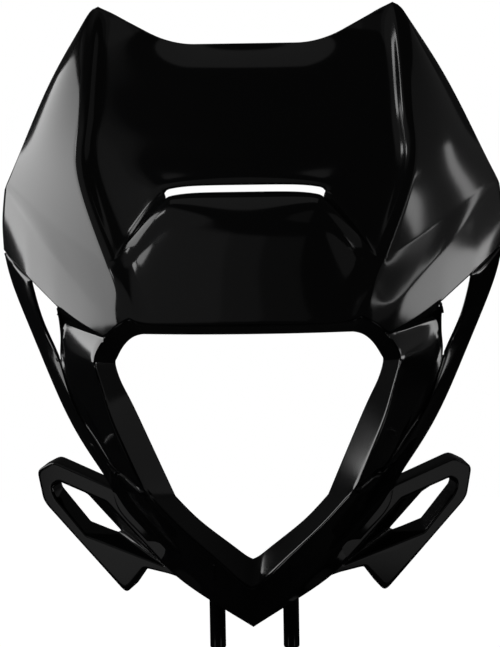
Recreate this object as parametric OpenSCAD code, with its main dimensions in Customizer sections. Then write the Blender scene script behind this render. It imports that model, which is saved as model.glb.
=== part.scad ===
// Headlight mask of an off-road motorcycle: one injection-moulded shell with its two locating pegs.
// Frame: X across, Y back, Z up, millimetres. The origin lies midway between the two pegs,
// at their shoulders. The right half is described, and the left half is its mirror image.
// A place is written [across, back, up].

/* [Moulding] */
// Wall thickness of the moulding
wall = 2.6; // [2:0.1:3.2]
// Half of the overall width, at the cheek corners
half_w = 150; // [144:1:158]
// Height of the horn tips above the peg shoulders
horn_z = 351.5; // [340:0.5:362]
// Half of the spacing of the horn tips
horn_x = 86; // [80:0.5:92]

/* [Upper plate] */
// Height of the middle of the top edge
top_z = 329; // [320:0.5:336]
// How far the plate lies below the crest that frames it
recess = 6; // [3:0.5:8]
// Width of the fillet between the plate and the crest
fillet_w = 10; // [7:0.5:14]
// Where the plate starts to rise towards the horns, as parts of the half width
rise_top = 0.5; // [0.4:0.01:0.6]
// Where the edge of the step turns down, as parts of the half width
rise_step = 0.62; // [0.55:0.01:0.7]

/* [Vent slot and step] */
// Half of the length of the vent slot
slot_half = 49; // [40:1:54]
// Height of the vent slot
slot_gap = 5.2; // [3.5:0.1:7]
// Height of the slot's upper lip above the peg shoulders
slot_z = 249; // [240:1:256]
// How far the brow stands in front of the upper plate
step_h = 5; // [3:0.5:8]

/* [Crest] */
// Half of the width across the crest at its widest
crest_x = 92.5; // [88:0.5:96]
// Width of the flat crest
crest_w = 4.8; // [3.5:0.1:6]

/* [Brow] */
// Height of the brow's lower edge in the middle
brow_z = 169; // [164:0.5:174]
// How far forward the brow's lower edge stands
brow_y = -62; // [-70:1:-54]

/* [Cheek] */
// How far back the cheek corner lies
corner_y = 52; // [40:1:64]
// Height of the cheek corner's lower end
corner_z = 206.5; // [200:0.5:212]
// Height of the cheek corner's upper end
shoulder_z = 243; // [236:0.5:250]
// How far the cheek is crowned
cheek_crown = 3.5; // [0:0.5:6]

/* [Headlight opening] */
// Half of the widest place of the bezel's front rim
rim_x = 88.5; // [84:0.5:92]
// Half of the widest place of the opening's rear edge
eye_x = 78.5; // [74:0.5:82]
// Height of the opening's upper rear edge
eye_top = 161.8; // [158:0.2:164]
// Height of the opening's lower rear point
eye_low = 27; // [23:0.5:31]
// Height of the rim's lower point
rim_low = 12; // [8:0.5:15]

/* [Chin] */
// Height of the chin's lowest point
chin_z = -11.8; // [-16:0.2:-8]
// How far forward the chin's lowest point stands
chin_y = -14; // [-20:1:-8]
// How far the jaw band is crowned
jaw_crown = 2; // [0:0.5:4]

/* [Fin] */
// Place where the fin's upper edge leaves the jaw, across
fin_x = 84; // [82:0.2:86]
// The same place, back
fin_y = 7.5; // [5:0.5:10]
// The same place, up
fin_z = 68; // [66:0.5:70]
// Depth of the fin's outer wall
fin_edge = 12; // [8:0.5:13]
// Depth of the wall round the fin's hole
fin_depth = 14; // [10:1:18]
// Turn of the fin's face towards the outside, in degrees
fin_turn = 20; // [14:1:28]
// Lean of the fin's face towards the ground, in degrees
fin_lean = 12; // [8:1:16]

/* [Pegs] */
// Diameter of a locating peg
peg_d = 9.4; // [6:0.1:11]
// Distance between the pegs' axes
peg_pitch = 43.4; // [36:0.2:50]
// Length of a peg below its shoulder
peg_l = 27; // [18:0.5:34]
// Chamfer at a peg's end
peg_chamfer = 1.4; // [0.5:0.1:2]
// Height of the shelf that carries the pegs
shelf_z = 5; // [4:0.5:8]
// Thickness of the shelf
shelf_t = 3; // [2:0.2:4]
// Thickness of a gusset over a peg
gusset_t = 2.4; // [1.6:0.2:3.2]

/* [Lugs on the back] */
// Thickness of a lug
lug_t = 3; // [2:0.5:5]
// Radius of a lug's rounded eye
lug_r = 7; // [5:0.5:9]
// Height of the lugs for the headlight
lamp_z = 177; // [175:0.5:180]
// How far back the eyes of the lugs for the headlight lie
lamp_y = -26; // [-32:1:-18]
// Diameter of the hole for the headlight's screw
lamp_hole = 5.4; // [4:0.1:7]
// Height of the lugs for the rubber strap
strap_z = 234; // [228:1:242]
// How far back the eyes of the lugs for the strap lie
strap_y = 16; // [12:1:22]
// Diameter of the hole for the strap's hook
strap_hole = 6.5; // [5:0.5:8]

/* [Hidden] */

// Rows and columns of the half shell
plate_rows = 2;
brow_rows = 3;
slot_cols = 6;
blend_cols = 3;
fillet_cols = 4;
plate_cols = slot_cols + blend_cols + fillet_cols;
side_rows = 2;
bezel_cols = 3;
near = 1e-4;

// Landmarks of the crest's inner line from the horn tip to the end of the step
crest_in_up = [
    [horn_x, 6, horn_z],
    [crest_x - 4, 1, 333],
    [crest_x - 2, -7, 308],
    [crest_x, -15, 282],
    [crest_x, -23, 253.5],
    [75.7, -39, 206.7]
];
// Landmarks of the plate's middle line from the top edge to the slot's upper lip
middle_up = [
    [0, 2, top_z],
    [0, -8, top_z - 12.5],
    [0, -15, 298],
    [0, -22, 280],
    [0, -28, 262.5],
    [0, -34, slot_z]
];
// Landmarks of the cheek's outer edge down to the row of the step
outer_up = [
    [horn_x + 5.4, 9, horn_z - 3.7],
    [half_w - 50, 13, 334.5],
    [half_w - 34.5, 21, 309.5],
    [half_w - 20, corner_y - 20, 281],
    [half_w - 10.8, corner_y - 13, 261.5],
    [half_w - 4.4, corner_y - 7, shoulder_z + 5.5]
];
// Landmarks of the crest's inner line below the step
crest_in_low = [
    [75.3, -39.4, 205.8],
    [73.6, -41, 202],
    [70.3, -45, 193.5],
    [66.2, -49, 182],
    [62.7, -52, brow_z + 1.4]
];
// Landmarks of the brow's middle line
middle_low = [
    [0, -34 - step_h, slot_z - slot_gap],
    [0, -36 - 2 * step_h, slot_z - slot_gap - 5],
    [0, brow_y + 7, 218],
    [0, brow_y + 3, 192],
    [0, brow_y, brow_z]
];
// The cheek's outer edge between the row of the step and the crease
outer_low = [
    [half_w - 3.7, corner_y - 6.5, shoulder_z + 4],
    [half_w - 2.8, corner_y - 6, shoulder_z + 2],
    [half_w - 2, corner_y - 5, shoulder_z]
];
// The cheek corner from the crease down to the lower edge
corner_edge = [
    [half_w - 2, corner_y - 5, shoulder_z],
    [half_w, corner_y - 2, lerp(shoulder_z, corner_z, 0.5)],
    [half_w - 0.3, corner_y, corner_z]
];
crest_out_end = [66.3, -50.5, brow_z + 3.1];
// Rim's upper corner, from the crest's end to the start of the bezel's side
corner_run = [crest_out_end, [73.6, -47.8, brow_z - 0.8], [82, -41.5, brow_z - 8]];
// The lower edge, from the crest round the rim's upper corner and out along the cheek
cheek_low = concat(rail(corner_run, 2), [
    [91.5, -32, 165.2],
    [102, -20, 170.5],
    [113.3, -6, 177.5],
    [131.8, corner_y - 32, corner_z - 14.5],
    [136.4, corner_y - 24, corner_z - 11],
    [141, corner_y - 16, corner_z - 7.3],
    [145.4, corner_y - 8, corner_z - 3.8],
    corner_edge[2]
]);
fin_corner = [fin_x, fin_y, fin_z];
// How far the fin's face lies behind the jaw's outer facet
fin_sink = 0.25;
low_split = 2 * (len(corner_run) - 1);
gap_in = low_split + 3;
gap_out = gap_in + 1;
cheek_part = [for (p = cheek_low) (p[0] - crest_out_end[0]) / (corner_edge[2][0] - crest_out_end[0])];

function lerp(a, b, t) = a + (b - a) * t;
function unit(v) = norm(v) < 1e-9 ? [0, 0, 0] : v / norm(v);
function last(v) = v[len(v) - 1];

// Smooth curve through the points p, at the place u counted in points
function through(p, u) =
    let (i = min(floor(u), len(p) - 2))
    let (t = u - i, a = p[i], b = p[i + 1])
    let (before = i > 0 ? p[i - 1] : 2 * a - b)
    let (after = i + 2 < len(p) ? p[i + 2] : 2 * b - a)
    t < 1e-9 ? a
    : t > 1 - 1e-9 ? b
    : (2 * a + (b - before) * t + (2 * before - 5 * a + 4 * b - after) * t * t
        + (3 * a - before - 3 * b + after) * t * t * t) / 2;

// The same curve as a list, with n steps between neighbouring points
function rail(p, n) = [for (i = [0 : n * (len(p) - 1)]) through(p, i / n)];

// A rail through p with a given number of steps in all
function spread(p, n) = [for (i = [0 : n]) through(p, i * (len(p) - 1) / n)];

// Nought up to s0, then rising evenly to one, with a soft bend of half width d
function rise(s, s0, d) =
    s < s0 - d ? 0
    : s > s0 + d ? (s - s0) / (1 - s0)
    : pow(s - s0 + d, 2) / (4 * d * (1 - s0));

// Places of the plate's columns: even to the slot's end, even to the fillet, even to the crest
slot_part = slot_half / last(crest_in_up)[0];
function columns(x) =
    let (f = 1 - fillet_w / x)
    [for (k = [0 : plate_cols])
        k <= slot_cols ? slot_part * k / slot_cols
        : k <= slot_cols + blend_cols ? lerp(slot_part, f, (k - slot_cols) / blend_cols)
        : lerp(f, 1, (k - slot_cols - blend_cols) / fillet_cols)];

// One row of the plate from its middle c to the crest r: a crown, a rise and an edge fillet
function plate_row(c, r, s0, soft, power, depth) =
    [for (s = columns(r[0]))
        let (f = 1 - fillet_w / r[0])
        let (edge = s < f ? 0 : pow((s - f) / (1 - f), 2))
        s > 1 - 1e-9 ? r
        : [
            r[0] * s,
            c[1] + (r[1] + depth - c[1]) * pow(s, power) - depth * edge,
            lerp(c[2], r[2], rise(s, s0, soft))
        ]];

// The recess fades out at the horn tip and at the brow's corner
function fade(v) = 1 - pow(abs(2 * v - 1), 5);

// Crest's outer line: the flat crest lies outside the inner line and leans with it
function crest_out(r, v) = [
    r[0] + lerp(3.4, crest_w, fade(v)),
    r[1] + 0.3,
    r[2] - lerp(1.5, 0.2, fade(v)) - max(0, 3 * (v - 0.45))
];

// Straight rungs from a to b over the cheek's columns, crowned outwards
function rungs(a, b, crown) =
    [for (s = cheek_part)
        s < near ? a
        : s > 1 - near ? b
        : lerp(a, b, s) + crown * 4 * s * (1 - s) * [0.55, -0.83, 0]];

cheek_cols = len(cheek_low) - 1;
rows_up = plate_rows * (len(middle_up) - 1);
rows_low = brow_rows * (len(middle_low) - 1);
crease_row = brow_rows * 2;

// Upper rows, from the top edge to the slot's upper lip
mid_a = rail(middle_up, plate_rows);
crest_a = rail(crest_in_up, plate_rows);
outer_a = rail(outer_up, plate_rows);
upper = [for (i = [0 : rows_up])
    let (v = 0.75 * i / rows_up)
    let (s0 = lerp(rise_top, rise_step, i / rows_up))
    let (out = crest_out(crest_a[i], v))
    concat(
        plate_row(mid_a[i], crest_a[i], s0, lerp(0.16, 0.05, i / rows_up), 2, recess * fade(v)),
        rungs(out, outer_a[i], cheek_crown * fade(v))
    )];

// Lower rows, from the slot's lower lip to the brow's lower edge
mid_b = rail(middle_low, brow_rows);
crest_b = rail(crest_in_low, brow_rows);
outer_b = rail(outer_low, brow_rows);
function crest_out_low(i) =
    i == rows_low ? crest_out_end
    : let (v = 0.75 + 0.25 * i / rows_low)
      let (own = crest_out(crest_b[i], v))
      let (drift = crest_out_end - crest_out(crest_b[rows_low], 1))
      own + drift * pow(i / rows_low, 2);
crease = rungs(crest_out_low(crease_row), outer_b[crease_row], cheek_crown);
edge_run = spread(corner_edge, rows_low - crease_row);
function facet_row(i) =
    let (t = (i - crease_row) / (rows_low - crease_row))
    [for (j = [0 : cheek_cols])
        let (s = cheek_part[j])
        let (a = crest_out_low(i) - lerp(crease[0], cheek_low[0], t))
        let (b = edge_run[i - crease_row] - lerp(last(crease), last(cheek_low), t))
        i == rows_low ? cheek_low[j]
        : lerp(crease[j], cheek_low[j], t) + a * pow(1 - s, 2) + b * pow(s, 3)];
brow = [for (i = [0 : rows_low])
    let (t = i / rows_low)
    let (power = lerp(7, 2, min(1, 2.5 * t)))
    concat(
        plate_row(
            mid_b[i], crest_b[i], rise_step, lerp(0.05, 0.2, t), power, recess * fade(0.75 + 0.25 * t)
        ),
        i <= crease_row
            ? rungs(crest_out_low(i), outer_b[i], cheek_crown)
            : facet_row(i)
    )];
shield = concat(upper, brow);

// Bezel's front rim and the opening's rear edge
side_rim = [
    cheek_low[low_split],
    [rim_x, -38, 148.8],
    [rim_x - 2.7, -38, 135.5],
    [80, -38, 114.5],
    [72.6, -37, 95.7],
    [65.1, -35, 79],
    [57.1, -33, 66.4]
];
chin_rim = [
    last(side_rim),
    [43, -31, 51],
    [29.2, -29, 37.6],
    [15, -27, 24],
    [5, -26, rim_low + 2.5],
    [0, -26, rim_low]
];
side_eye = [
    [eye_x - 0.6, -14, 146.5],
    [eye_x, -13, 143],
    [75.5, -12.5, 133],
    [69.8, -12, 121],
    [61, -11.5, 101.5],
    [52.3, -10, 82],
    [44.5, -7.5, 65]
];
chin_eye = [
    last(side_eye),
    [34, -6, 55],
    [23.6, -5, 46],
    [12, -4.5, 37],
    [4.1, -4, eye_low + 3],
    [0, -4, eye_low]
];
rim_a = rail(side_rim, side_rows);
rim_b = rail(chin_rim, side_rows);
eye_a = rail(side_eye, side_rows);
eye_b = rail(chin_eye, side_rows);
brow_edge = [for (k = [0 : plate_cols + 1]) last(brow)[k]];
function tail(v) = [for (i = [1 : len(v) - 1]) v[i]];
rim_top = concat(brow_edge, [for (j = [1 : low_split]) cheek_low[j]]);
eye_flat = 60.5;
eye_turn = [[eye_flat, -23, eye_top - 0.4], [66.5, -20.5, 159.6], [72.4, -17.5, 154.3], side_eye[0]];
eye_top_line = concat(
    [for (k = [0 : plate_cols])
        let (s = min(brow_edge[k][0] / last(brow_edge)[0] * 1.06, 1))
        [s * eye_flat, -36 + 13 * s * s, eye_top - 0.4 * s * s]],
    tail(spread(eye_turn, low_split + 1))
);
rim = concat(rim_top, tail(rim_a), tail(rim_b));
eye = concat(eye_top_line, tail(eye_a), tail(eye_b));
tunnel = [for (i = [0 : len(rim) - 1]) [rim[i], lerp(rim[i], eye[i], 0.5), eye[i]]];

// Side of the bezel: a main face from the rim to a crease, and a narrow face behind it
side_crease = [
    [111, 6, 168.3],
    [110, 6, 151.7],
    [107, 3, 137],
    [99, -3, 118.5],
    [90, -8, 100],
    [78.5, -18, 82],
    last(side_rim)
];
side_edge = [
    cheek_low[gap_in] + [0.7, 14, -1],
    [112.6, 11, 158.5],
    [113, 12, 144.2],
    [106.8, 5.2, 124],
    [95.6, -4, 104],
    [80.4, -16.8, 84],
    last(side_rim)
];
crease_a = rail(side_crease, side_rows);
edge_a = rail(side_edge, side_rows);
bezel_start = [for (j = [0 : bezel_cols])
    j == 0 ? cheek_low[low_split] : lerp(cheek_low[low_split], side_crease[0], j / bezel_cols)];
bezel = [for (i = [0 : len(rim_a) - 1])
    i == 0
        ? concat(bezel_start, [cheek_low[gap_in]])
        : concat([for (j = [0 : bezel_cols]) lerp(rim_a[i], crease_a[i], j / bezel_cols)], [edge_a[i]])];
ledge = [
    [for (j = [0 : bezel_cols]) cheek_low[low_split + j]],
    bezel_start
];

// Jaw: one band from the cheek corner down the arm and along the chin
arm_in = [
    cheek_low[gap_out],
    [124.3, 19, 165],
    [114, 11.4, 144],
    [107, 3.4, 123.5],
    [96, -5.4, 103.7],
    [80.6, -17.8, 84],
    last(side_rim)
];
jaw_out = [
    last(cheek_low),
    [145.6, corner_y - 2, 189.3],
    [137.6, corner_y - 7, 168.6],
    [127, 36, 144.7],
    [112.8, 24, 114],
    [98, 13, 89.5],
    fin_corner + [0.6, 0.2, 0.5],
    fin_corner + [-4.4, 1.5, -14.6],
    fin_corner + [-18.4, -0.1, -30.1],
    fin_corner + [-33, -2.3, -48.6],
    [27, -9.8, 4.5],
    [0, chin_y, chin_z]
];
// The fold between the jaw band and its outer facet, from the fin's corner to the chin
fold_start = 6;
jaw_fold = [
    fin_corner + [-2, -0.4, -1.2],
    fin_corner + [-12, -1.6, -13],
    fin_corner + [-25.5, -3.4, -27.6],
    fin_corner + [-41, -7, -43],
    [21, -13.2, 5.6],
    [0, chin_y - 1, chin_z + 1.8]
];
arm_a = rail(arm_in, side_rows);
jaw_b = rail(jaw_out, side_rows);
jaw_in = concat(arm_a, tail(rim_b));
fold_b = rail(jaw_fold, side_rows);
jaw_cols = cheek_cols - gap_out;
fold_col = jaw_cols - 1;
function jaw_row(a, fold, b) = [for (j = [0 : jaw_cols])
    let (s = j / fold_col)
    j == jaw_cols ? b
    : j == fold_col ? fold
    : lerp(a, fold, s) + 4 * s * (1 - s) * jaw_crown * [0, -1, 0]];
jaw = [for (i = [0 : len(jaw_in) - 1])
    let (k = i - fold_start * side_rows)
    let (high = lerp(jaw_in[i], jaw_b[i], 0.75) + [0, -jaw_crown, 0])
    i == 0
        ? [for (j = [gap_out : cheek_cols]) cheek_low[j]]
        : jaw_row(jaw_in[i], k < 0 ? high : fold_b[k], jaw_b[i])];
gap_end = 2 * side_rows;
valley = [for (i = [gap_end : len(arm_a) - 1]) [edge_a[i], arm_a[i]]];

// The half shell as patches; a cell is left out where the slot is open
patches = [shield, tunnel, bezel, ledge, jaw, valley];
turned = [-1, 1, -1, -1, -1, -1];
function open_cell(p, r, c) = p == 0 && r == rows_up && c < slot_cols;
function rows(p) = len(patches[p]);
function cols(p) = len(patches[p][0]);
function has(p, r, c) =
    r >= 0 && c >= 0 && r < rows(p) - 1 && c < cols(p) - 1 && !open_cell(p, r, c);

// Outward normal of patch p at row r and column c
function slope(p, r, c) =
    let (g = patches[p], up = max(r - 1, 0), down = min(r + 1, rows(p) - 1))
    let (left = max(c - 1, 0), right = min(c + 1, cols(p) - 1))
    turned[p] * unit(cross(g[r][right] - g[r][left], g[down][c] - g[up][c]));

function on_border(p, r, c) = r == 0 || c == 0 || r == rows(p) - 1 || c == cols(p) - 1;
border = [for (p = [0 : len(patches) - 1], r = [0 : rows(p) - 1], c = [0 : cols(p) - 1])
    if (on_border(p, r, c)) [patches[p][r][c], slope(p, r, c)]];

// Place on the back skin: one wall behind the front, along the mean of the faces that meet there
function behind(p, r, c) =
    let (at = patches[p][r][c], own = slope(p, r, c))
    let (all = on_border(p, r, c)
        ? [for (b = border) if (norm(b[0] - at) < near) b[1]]
        : [own])
    let (mean = unit([for (k = [0 : 2]) k == 0 && at[0] < near ? 0 : add([for (n = all) n[k]])]))
    let (least = min([for (n = all) norm(n) < 0.5 ? 1 : max(mean * n, 0.6)]))
    at - mean * wall / least;
function add(v) = v * [for (x = v) 1];

backs = [for (p = [0 : len(patches) - 1])
    [for (r = [0 : rows(p) - 1]) [for (c = [0 : cols(p) - 1]) behind(p, r, c)]]];

// Cell edges that only one cell has: [start, end, start behind, end behind]
sides = [for (p = [0 : len(patches) - 1], r = [0 : rows(p) - 2], c = [0 : cols(p) - 2])
    if (has(p, r, c))
        each [
            if (!has(p, r - 1, c)) [p, [r, c], [r, c + 1]],
            if (!has(p, r, c + 1)) [p, [r, c + 1], [r + 1, c + 1]],
            if (!has(p, r + 1, c)) [p, [r + 1, c + 1], [r + 1, c]],
            if (!has(p, r, c - 1)) [p, [r + 1, c], [r, c]]
        ]];
function front_at(p, k) = patches[p][k[0]][k[1]];
function back_at(p, k) = backs[p][k[0]][k[1]];
middles = [for (s = sides) (front_at(s[0], s[1]) + front_at(s[0], s[2])) / 2];
lengths = [for (s = sides) norm(front_at(s[0], s[1]) - front_at(s[0], s[2]))];
free = [for (i = [0 : len(sides) - 1])
    if (lengths[i] > near
        && middles[i][0] > near
        && len([for (j = [0 : len(sides) - 1])
            if (lengths[j] > near && norm(middles[j] - middles[i]) < near) 1]) == 1)
        sides[i]];

// Triangles of one quadrilateral, without those that have shrunk to a line
function split(a, b, c, d) = [
    if (norm(a - b) > near && norm(b - c) > near && norm(c - a) > near) [a, b, c],
    if (norm(a - c) > near && norm(c - d) > near && norm(d - a) > near) [a, c, d]
];
function turn(t) = [t[0], t[2], t[1]];
front_faces = [for (p = [0 : len(patches) - 1], r = [0 : rows(p) - 2], c = [0 : cols(p) - 2])
    if (has(p, r, c))
        let (g = patches[p])
        each [for (t = split(g[r][c], g[r][c + 1], g[r + 1][c + 1], g[r + 1][c]))
            turned[p] > 0 ? turn(t) : t]];
back_faces = [for (p = [0 : len(patches) - 1], r = [0 : rows(p) - 2], c = [0 : cols(p) - 2])
    if (has(p, r, c))
        let (g = backs[p])
        each [for (t = split(g[r][c], g[r][c + 1], g[r + 1][c + 1], g[r + 1][c]))
            turned[p] > 0 ? t : turn(t)]];
rim_faces = [for (s = free)
    let (p = s[0])
    each [for (t = split(front_at(p, s[1]), front_at(p, s[2]), back_at(p, s[2]), back_at(p, s[1])))
        turned[p] > 0 ? t : turn(t)]];
half = concat(front_faces, back_faces, rim_faces);
function flip(v) = [v[0] < near ? 0 : -v[0], v[1], v[2]];
whole = concat(half, [for (t = half) turn([for (v = t) flip(v)])]);

module shell() {
    polyhedron(
        points = [for (t = whole) each t],
        faces = [for (i = [0 : len(whole) - 1]) [3 * i, 3 * i + 1, 3 * i + 2]],
        convexity = 12
    );
}

// Fin as seen from the front: its outline, its hole's front edge and its hole's rear edge,
// outwards and down from the corner where its upper edge leaves the jaw
fin_outline = [
    [-2, 1.2], [0, 0], [34, -14.2], [36.4, -13.9], [44.2, -9.6], [45, -7], [42.3, 8.7],
    [40, 12.6], [-4.6, 62.8], [-7, 64.4], [-9.2, 62.9], [-18.8, 48.9], [-33.4, 52.2],
    [-40, 47], [-25, 29.7], [-12, 14.5]
];
hole_front = [
    [3.5, 9], [31.7, -2.3], [34.6, -1.6], [36.4, 1], [36, 4.5], [34.2, 8.6], [16.5, 30.3],
    [-31, 47.2]
];
hole_rear = [[19.8, 9.8], [33.6, 1.2], [36.2, 2.6], [35.4, 5.5], [19, 26], [3, 31.8], [0.6, 31]];

// A front view's point on the fin's leaning face
function on_fin(p) =
    let (down = p[1] / cos(fin_lean))
    [(p[0] + down * sin(fin_turn) * sin(fin_lean)) / cos(fin_turn), down];

// Funnel from the hole's front edge to its rear edge, wider by a margin
module hole_funnel(margin, from, to) {
    hull() {
        translate([0, 0, from]) linear_extrude(0.01)
            offset(delta = margin) polygon([for (p = hole_front) on_fin(p)]);
        translate([0, 0, to]) linear_extrude(0.01)
            offset(delta = margin) polygon([for (p = hole_rear) on_fin(p)]);
    }
}

// Fin: a face with a wall round its outline and a funnel round its hole, open to the back
module fin() {
    outline = [for (p = fin_outline) on_fin(p)];
    translate(fin_corner + [0, fin_sink, 0])
    rotate([fin_lean - 90, 0, fin_turn])
    difference() {
        union() {
            linear_extrude(wall) polygon(outline);
            linear_extrude(fin_edge) difference() {
                polygon(outline);
                offset(delta = -wall) polygon(outline);
            }
            intersection() {
                hole_funnel(wall, 0, fin_depth);
                linear_extrude(fin_depth) polygon(outline);
            }
        }
        hole_funnel(0, -0.02, fin_depth + 0.02);
    }
}

// Locating peg, hanging from the shelf, with a chamfered end
module peg() {
    translate([0, 0, peg_chamfer - peg_l])
    cylinder(d = peg_d, h = peg_l - peg_chamfer + shelf_z, $fn = 48);
    translate([0, 0, -peg_l])
    cylinder(d1 = peg_d - 2 * peg_chamfer, d2 = peg_d, h = peg_chamfer, $fn = 48);
}

// Shelf and gussets that carry a peg behind the chin
module peg_seat() {
    translate([0, 0, shelf_z]) linear_extrude(shelf_t) polygon([
        [0, -21.8], [10, -19.3], [19, -15], [26, -9.4],
        [peg_pitch / 2 + 5, 2], [peg_pitch / 2, peg_d / 2 + 1.5], [0, peg_d / 2 + 1.5]
    ]);
    translate([peg_pitch / 2 - gusset_t / 2, 0, 0])
    rotate([90, 0, 90])
    linear_extrude(gusset_t) polygon([[-11.5, 6], [4, 6], [4, 9], [-19, 27], [-23, 25.5]]);
}

// Where a line along Y at x and z crosses a triangle of the front skin
function crossing(t, x, z) =
    let (a = t[0], b = t[1] - t[0], c = t[2] - t[0], d = b[0] * c[2] - b[2] * c[0])
    abs(d) < 1e-9 ? []
    : let (s = ((x - a[0]) * c[2] - (z - a[2]) * c[0]) / d)
      let (u = (b[0] * (z - a[2]) - b[2] * (x - a[0])) / d)
      s >= 0 && u >= 0 && s + u <= 1 ? [a[1] + s * b[1] + u * c[1]] : [];
function skin_y(x, z) = min([for (t = front_faces) each crossing(t, x, z)]);

// Lug behind the shell: a level plate, rooted in the wall at the places xs, with a rounded eye
module lug(xs, sink, eye_at, up, hole_d) {
    root = [for (x = xs) [x, skin_y(x, up + lug_t / 2) + sink]];
    translate([0, 0, up]) linear_extrude(lug_t) difference() {
        union() {
            polygon(concat(root, [eye_at + [lug_r, 0], eye_at - [lug_r, 0]]));
            translate(eye_at) circle(r = lug_r, $fn = 36);
        }
        translate(eye_at) circle(d = hole_d, $fn = 30);
    }
}

lamp_x = crest_out_end[0];
lamp_root = [lamp_x - 6, lamp_x - 2, lamp_x + 2, lamp_x + 7.5];
strap_x = half_w - 43;
strap_root = [strap_x - 4, strap_x + 2, strap_x + 8, strap_x + 14];

module mask() {
    color("#121314") union() {
        shell();
        for (side = [0, 1]) mirror([side, 0, 0]) {
            fin();
            peg_seat();
            translate([peg_pitch / 2, 0, 0]) peg();
            lug(lamp_root, wall / 2, [lamp_x, lamp_y], lamp_z, lamp_hole);
            lug(strap_root, 0.8 * wall, [strap_x, strap_y], strap_z, strap_hole);
        }
    }
}

mask();
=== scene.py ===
"""Headlight mask of an off-road motorcycle, dressed for the camera.

The moulding is drawn as smooth skins over the same landmarks as the CAD part, in millimetres:
X across, Y back, Z up, the origin midway between the pegs at their shoulders. The right half is
worked out and mirrored. Every skin is a grid: rows run down the part, columns run outwards.
"""

import math

import bpy
import numpy as np
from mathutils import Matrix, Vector


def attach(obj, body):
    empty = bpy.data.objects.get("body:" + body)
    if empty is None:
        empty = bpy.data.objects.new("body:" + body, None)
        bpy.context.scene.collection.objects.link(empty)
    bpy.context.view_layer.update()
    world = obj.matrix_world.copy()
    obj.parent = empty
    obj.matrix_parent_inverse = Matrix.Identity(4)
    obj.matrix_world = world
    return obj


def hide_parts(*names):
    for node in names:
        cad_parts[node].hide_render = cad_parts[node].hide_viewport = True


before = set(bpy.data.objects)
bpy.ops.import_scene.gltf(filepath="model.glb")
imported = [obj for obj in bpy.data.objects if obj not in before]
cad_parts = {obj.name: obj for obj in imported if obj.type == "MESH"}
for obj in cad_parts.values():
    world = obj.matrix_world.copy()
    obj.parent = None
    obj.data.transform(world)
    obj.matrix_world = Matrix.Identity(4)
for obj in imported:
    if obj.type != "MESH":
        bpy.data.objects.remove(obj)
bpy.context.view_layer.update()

MM = 0.001
WALL = 2.6
EDGE_R = 0.8
NEAR = 1e-4

HALF_W = 150.0
HORN = (86.0, 6.0, 351.5)
TOP_Z = 329.0
RECESS = 6.0
FILLET_W = 10.0
RISE_TOP, RISE_STEP = 0.5, 0.62
SLOT_HALF, SLOT_GAP, SLOT_Z = 46.5, 5.2, 249.0
STEP_H = 5.0
LIP_ROLL, LIP_W = 1.6, 6.0
# How far the upper and the lower lip sink: all along, and more at the slot's ends.
LIP_DROOPS = (1.2, 2.4), (-0.6, 3.0)
DROOP_REACH, DROOP_END = 25.0, 74.0
CREST_X, CREST_W = 92.5, 4.8
BROW_Z, BROW_Y = 169.0, -62.0
CORNER_Y, CORNER_Z, SHOULDER_Z = 52.0, 206.5, 243.0
CHEEK_CROWN = [[3.5], [3.5], [3.5], [3.3], [2.4], [5.4]]
CROWN_WAY = np.array([0.55, -0.83, 0.0])
RIM_X, EYE_X = 88.5, 78.5
EYE_TOP, EYE_LOW, RIM_LOW = 161.8, 27.0, 12.0
CHIN_Z, CHIN_Y = -12.6, -14.0
JAW_CROWN = 2.0
FIN = np.array([84.0, 7.5, 68.0])
PEG_R, PEG_PITCH, PEG_L, PEG_ROUND = 4.7, 43.4, 27.0, 1.6
SHELF_Z, SHELF_T, GUSSET_T = 5.0, 3.0, 2.4
LUG_T, LUG_R = 3.0, 7.0
# Lugs: root corners and eye in plan, height of the underside, radius of the hole.
LAMP_ROOT = [(60.3, -49.2), (64.3, -48.7), (68.3, -47.9), (73.8, -44.9)]
STRAP_ROOT = [(103, -13.9), (109, -6.4), (115, 1.6), (121, 10.1)]
LAMP_LUG = LAMP_ROOT, np.array([66.3, -26.0]), 177, 2.7
STRAP_LUG = STRAP_ROOT, np.array([107.0, 16.0]), 234, 3.25


def bend(points, at, knots=None):
    """A thin strip bent through the points: the natural cubic spline, read at the places `at`."""
    p = np.asarray(points, float)
    k = np.arange(len(p), dtype=float) if knots is None else np.asarray(knots, float)
    h = np.diff(k)
    n = len(p)
    system = np.eye(n)
    right = np.zeros_like(p)
    for i in range(1, n - 1):
        system[i, i - 1 : i + 2] = h[i - 1], 2 * (h[i - 1] + h[i]), h[i]
        right[i] = 6 * ((p[i + 1] - p[i]) / h[i] - (p[i] - p[i - 1]) / h[i - 1])
    m = np.linalg.solve(system, right)
    u = np.clip(np.asarray(at, float), k[0], k[-1])
    i = np.clip(np.searchsorted(k, u, side="right") - 1, 0, n - 2)
    a = ((k[i + 1] - u) / h[i])[..., None]
    b = 1 - a
    span = (h[i] ** 2)[..., None] / 6
    return a * p[i] + b * p[i + 1] + span * ((a**3 - a) * m[i] + (b**3 - b) * m[i + 1])


def lerp(a, b, t):
    """Straight mix of a and b."""
    return a + (b - a) * t


def spread(a, b, n):
    """n + 1 even places from a to b."""
    return np.linspace(a, b, n + 1)


def rise(s, s0, d):
    """Nought up to s0, then an even climb to one, with a soft bend of half width d between."""
    soft = (s - s0 + d) ** 2 / (4 * d * (1 - s0))
    return np.where(s < s0 - d, 0, np.where(s > s0 + d, (s - s0) / (1 - s0), soft))


def fade(v):
    """One in the middle of the crest, falling to nought at the horn tip and the brow's corner."""
    return 1 - np.abs(2 * v - 1) ** 5


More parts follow.
